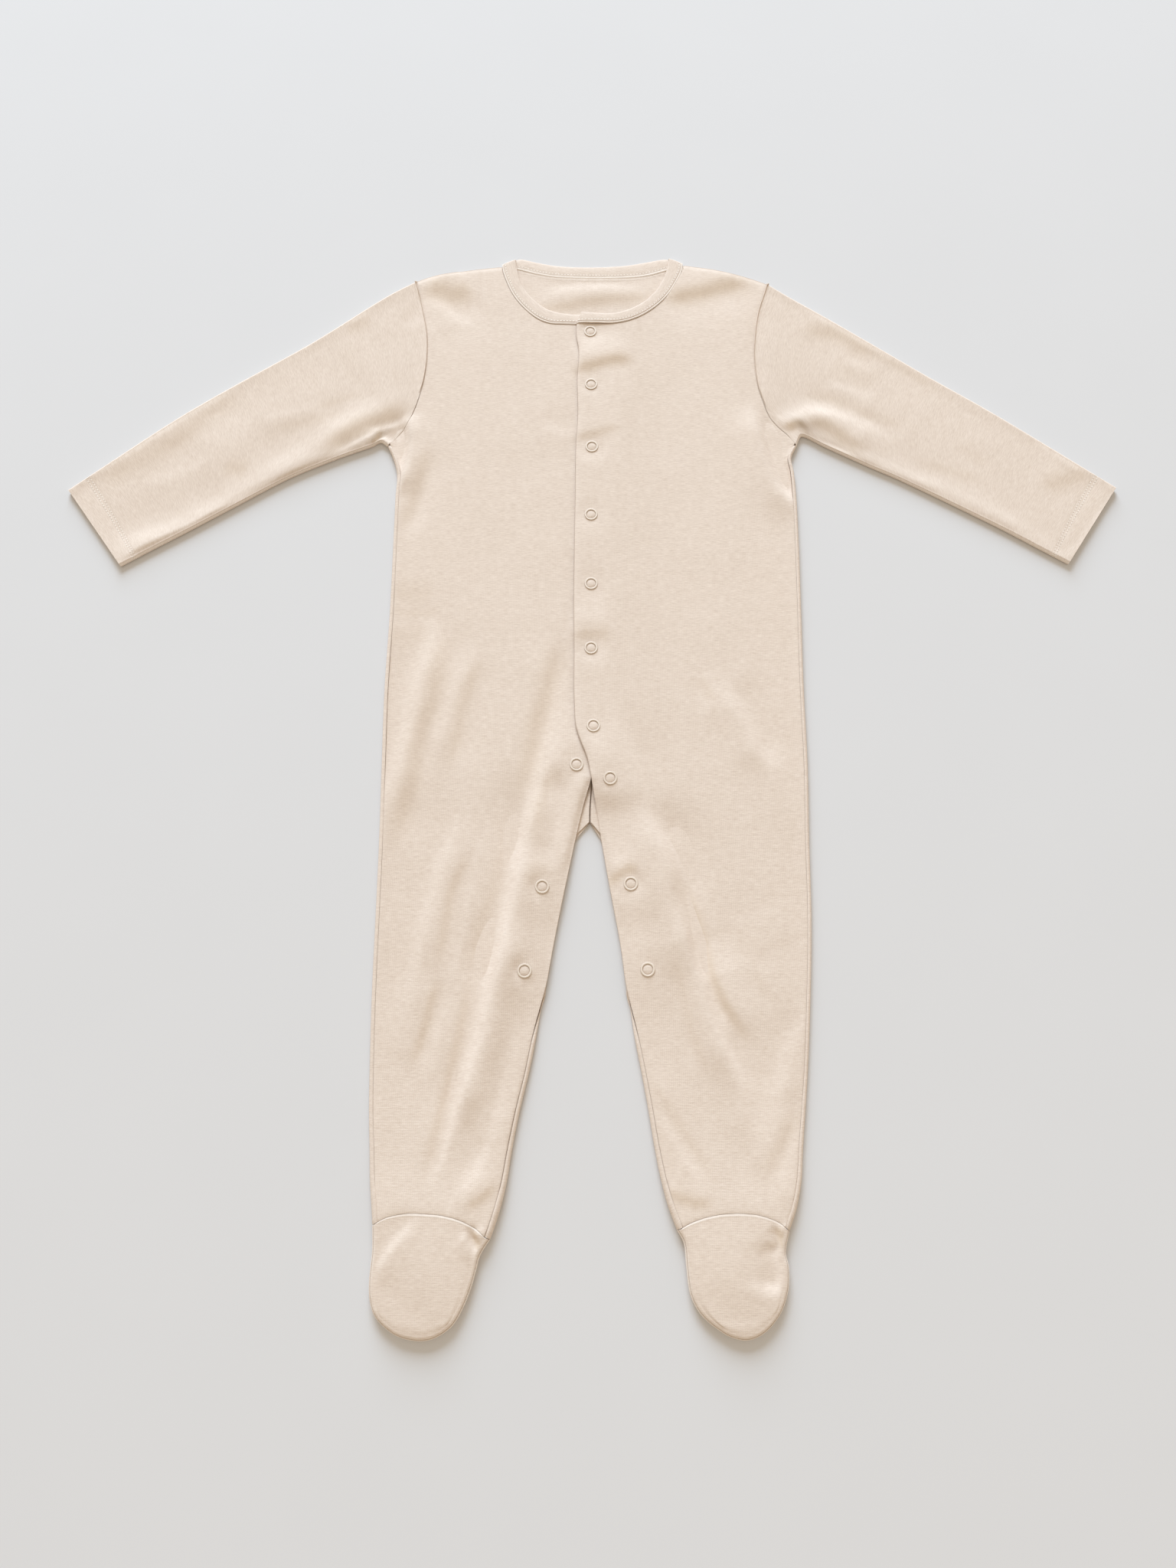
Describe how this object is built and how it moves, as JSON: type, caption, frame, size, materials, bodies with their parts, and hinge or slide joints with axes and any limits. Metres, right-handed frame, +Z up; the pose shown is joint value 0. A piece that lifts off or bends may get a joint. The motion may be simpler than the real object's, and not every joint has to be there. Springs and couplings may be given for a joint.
{
  "type": "footed baby sleepsuit",
  "caption": "Footed long-sleeved baby sleepsuit laid flat, with a ring-snap front that forks along the inner legs and a folded neckband.",
  "frame": {"origin": "middle of the bounding box in plan, on the surface that the garment lies on", "axes": "+Z up off the surface, +Y towards the neck, +X towards the wearer's left sleeve"},
  "size_m": [0.7836, 0.7872, 0.011],
  "materials": {
    "cloth": "matte fine cotton knit",
    "snap": "satin enamel"
  },
  "bodies": {
    "root": {"back": "cloth", "front_right": "cloth", "front_left": "cloth", "sleeve_right": "cloth", "sleeve_left": "cloth", "neckband": "cloth", "instep_right": "cloth", "instep_left": "cloth", "sole_right": "cloth", "sole_left": "cloth", "snap_01": "snap", "snap_02": "snap", "snap_03": "snap", "snap_04": "snap", "snap_05": "snap", "snap_06": "snap", "snap_07": "snap", "snap_08": "snap", "snap_09": "snap", "snap_10": "snap", "snap_11": "snap", "snap_12": "snap", "snap_13": "snap", "stud_01": "snap", "stud_02": "snap", "stud_03": "snap", "stud_04": "snap", "stud_05": "snap", "stud_06": "snap", "stud_07": "snap", "stud_08": "snap", "stud_09": "snap", "stud_10": "snap", "stud_11": "snap", "stud_12": "snap", "stud_13": "snap"}
  },
  "joints": []
}
